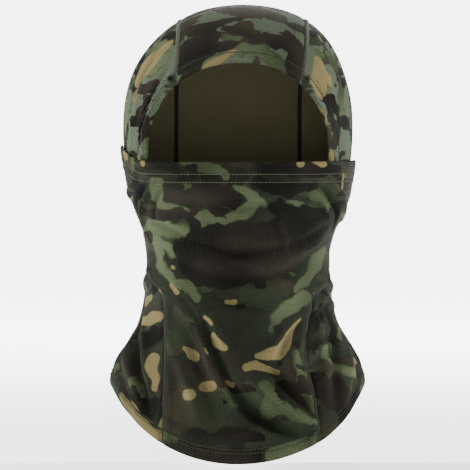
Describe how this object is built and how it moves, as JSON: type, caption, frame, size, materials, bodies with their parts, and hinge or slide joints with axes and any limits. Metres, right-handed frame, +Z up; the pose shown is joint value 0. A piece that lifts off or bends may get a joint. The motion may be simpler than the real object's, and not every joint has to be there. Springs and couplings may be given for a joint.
{
  "type": "camouflage face mask",
  "caption": "Close-fitting knit hood for head and neck, with an arched face opening, a hemmed cover over nose and chin that pulls down, and a flared skirt over the shoulders.",
  "frame": {"origin": "midpoint between the ears, where the line that the cover's hem swings about crosses the middle plane; the head seats about it", "axes": "+Z up towards the crown, the wearer faces -Y, +X is the wearer's left"},
  "size_m": [0.1961, 0.213, 0.3476],
  "materials": {
    "camo_knit": "matt printed stretch knit",
    "flatlock_thread": "matt thread",
    "hem_thread": "matt thread",
    "elastic": "matt woven tape"
  },
  "bodies": {
    "hood": {"crown_panel": "camo_knit", "side_panel_left": "camo_knit", "side_panel_right": "camo_knit", "front_bib": "camo_knit", "face_cover": "camo_knit", "bottom_hem_front": "camo_knit", "bottom_hem_left": "camo_knit", "bottom_hem_back": "camo_knit", "bottom_hem_right": "camo_knit", "opening_band": "camo_knit", "crown_seam_left": "flatlock_thread", "crown_seam_right": "flatlock_thread", "bib_seam_left": "flatlock_thread", "bib_seam_right": "flatlock_thread", "opening_band_stitching": "hem_thread", "bottom_hem_stitching": "hem_thread", "cover_seam_left": "hem_thread", "cover_seam_right": "hem_thread", "cover_corner_tack_left": "hem_thread", "cover_corner_tack_right": "hem_thread", "opening_elastic": "elastic"},
    "cover_hem": {"cover_hem": "camo_knit", "cover_hem_elastic": "elastic", "cover_hem_stitching": "hem_thread"}
  },
  "joints": [
    {"name": "cover_pull_down", "type": "hinge", "parent": "hood", "child": "cover_hem", "pos_m": [0, 0, 0], "axis": [1, 0, 0], "range_deg": [0, 46], "deforming": ["face_cover"]}
  ]
}
